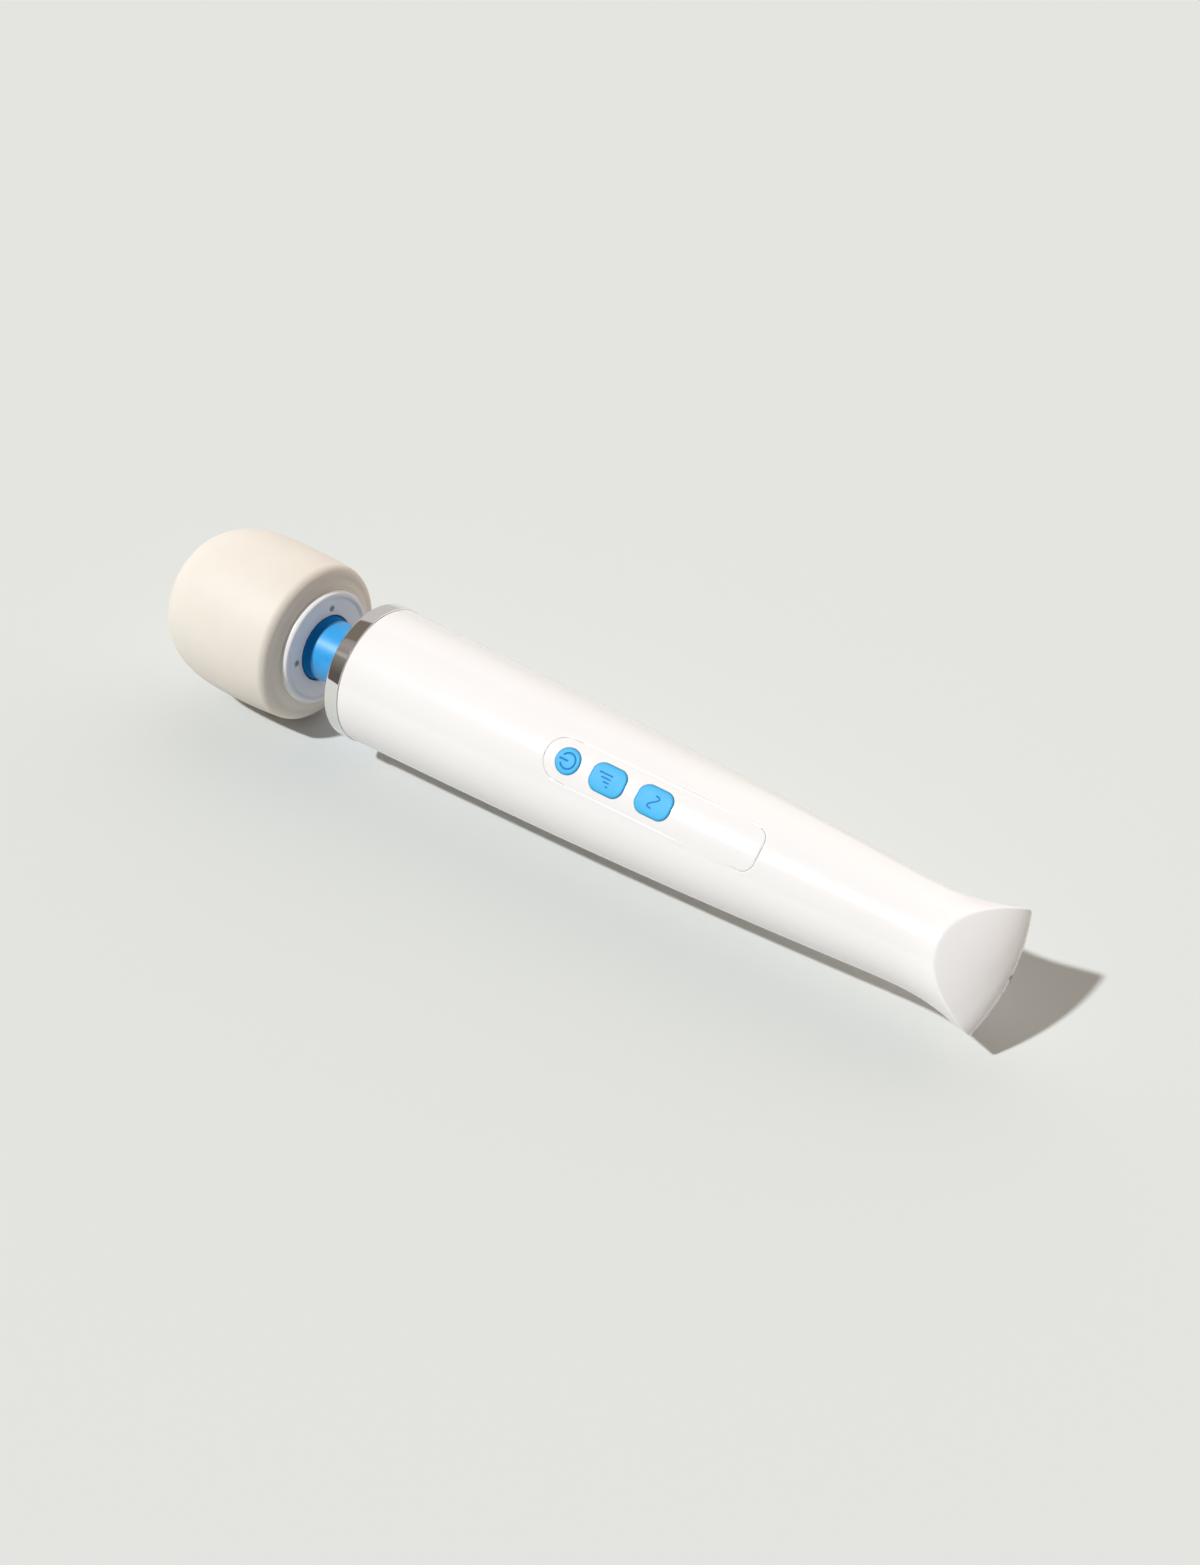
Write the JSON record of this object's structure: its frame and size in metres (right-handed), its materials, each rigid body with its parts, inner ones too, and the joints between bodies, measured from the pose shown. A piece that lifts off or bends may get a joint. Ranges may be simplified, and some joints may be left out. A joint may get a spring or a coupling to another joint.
{
  "type": "handheld wand massager",
  "caption": "Rechargeable wand massager: round silicone head on a flexible neck, tapering handle with press buttons and a wedge-shaped charging end.",
  "frame": {"origin": "middle of the bounding box's bottom face; the wand's own axis runs parallel to X at the head's radius above it", "axes": "+X along the wand from the massage head to the charging end, +Z out of the button side, +Y to the side"},
  "size_m": [0.326, 0.0596, 0.0597],
  "materials": {
    "silicone_cream": "matt moulded silicone",
    "plate_white": "semi-gloss ABS",
    "shell_white": "high-gloss white ABS",
    "neck_blue": "satin flexible sleeve",
    "key_blue": "semi-gloss moulded keys",
    "collar_chrome": "mirror-plated ring",
    "steel": "bright steel",
    "screw_steel": "dark zinc-plated screws",
    "brass": "machined brass",
    "copper_winding": "varnished copper windings",
    "black_rubber": "vibration-damping rubber",
    "black_plastic": "black engineering plastic",
    "board_green": "solder mask",
    "cell_wrap": "shrink wrap",
    "keypad_silicone": "translucent grey silicone",
    "light_diffuser": "frosted diffuser",
    "led_lens": "clear LED lens",
    "wire_red": "PVC insulation",
    "wire_black": "PVC insulation"
  },
  "bodies": {
    "handle": {"battery_cell_front": "cell_wrap", "battery_cell_rear": "cell_wrap", "battery_tray": "black_plastic", "board_screw_1": "screw_steel", "board_screw_2": "screw_steel", "charge_socket": "black_plastic", "chrome_collar": "collar_chrome", "control_board": "board_green", "control_panel": "shell_white", "controller_chip": "black_plastic", "handle_end_cap": "shell_white", "handle_front_shell": "shell_white", "handle_rear_shell": "shell_white", "jack_pin": "brass", "keypad": "keypad_silicone", "level_switch": "black_plastic", "light_guide": "light_diffuser", "motor_can": "steel", "motor_damper_front": "black_rubber", "motor_damper_rear": "black_rubber", "motor_end_cap": "black_plastic", "motor_magnet_ring": "black_plastic", "neck_clamp_ring": "steel", "neck_sleeve": "neck_blue", "neck_spring": "steel", "pattern_switch": "black_plastic", "port_bezel": "shell_white", "power_switch": "black_plastic", "protection_board": "board_green", "shell_screw_1": "screw_steel", "shell_screw_2": "screw_steel", "shell_screw_3": "screw_steel", "shell_screw_4": "screw_steel", "status_led_1": "led_lens", "status_led_2": "led_lens", "status_led_3": "led_lens", "wire_battery": "wire_red", "wire_charge": "wire_black", "wire_motor_negative": "wire_black", "wire_motor_positive": "wire_red"},
    "drive_rotor": {"motor_armature": "copper_winding", "motor_shaft": "steel", "flexible_drive_shaft": "steel"},
    "neck": {"shaft_guide_bush": "brass"},
    "head": {"head_cover": "silicone_cream", "head_capsule": "shell_white", "head_rear_plate": "plate_white", "head_screw_1": "screw_steel", "head_screw_2": "screw_steel", "head_screw_3": "screw_steel", "head_screw_4": "screw_steel", "front_bearing": "steel", "rear_bearing": "steel"},
    "weight_rotor": {"head_shaft": "steel", "eccentric_weight": "brass", "weight_set_screw": "screw_steel"},
    "power_key": {"power_button": "key_blue"},
    "level_key": {"level_button": "key_blue"},
    "pattern_key": {"pattern_button": "key_blue"}
  },
  "joints": [
    {"name": "neck_pitch", "type": "hinge", "parent": "handle", "child": "neck", "pos_m": [-0.0925, 0, 0.02984], "axis": [0, 1, 0], "range_deg": [-10, 10], "stiffness_Nm_per_rad": 5, "deforming": ["neck_sleeve", "neck_spring", "flexible_drive_shaft"]},
    {"name": "neck_yaw", "type": "hinge", "parent": "neck", "child": "head", "pos_m": [-0.0925, 0, 0.02984], "axis": [0, 0, 1], "range_deg": [-10, 10], "stiffness_Nm_per_rad": 5, "deforming": ["neck_sleeve", "neck_spring", "flexible_drive_shaft"]},
    {"name": "motor_spin", "type": "hinge", "parent": "handle", "child": "drive_rotor", "pos_m": [-0.0425, 0, 0.02984], "axis": [1, 0, 0], "continuous": true},
    {"name": "weight_spin", "type": "hinge", "parent": "head", "child": "weight_rotor", "pos_m": [-0.1355, 0, 0.02984], "axis": [1, 0, 0], "continuous": true},
    {"name": "power_press", "type": "slide", "parent": "handle", "child": "power_key", "axis": [0, 0, -1], "range_m": [0, 0.0008], "stiffness_N_per_m": 60},
    {"name": "level_press", "type": "slide", "parent": "handle", "child": "level_key", "axis": [0, 0, -1], "range_m": [0, 0.0008], "stiffness_N_per_m": 60},
    {"name": "pattern_press", "type": "slide", "parent": "handle", "child": "pattern_key", "axis": [0, 0, -1], "range_m": [0, 0.0008], "stiffness_N_per_m": 60}
  ],
  "couplings": [
    {"joint": "weight_spin", "follows": "motor_spin", "ratio": 1}
  ]
}
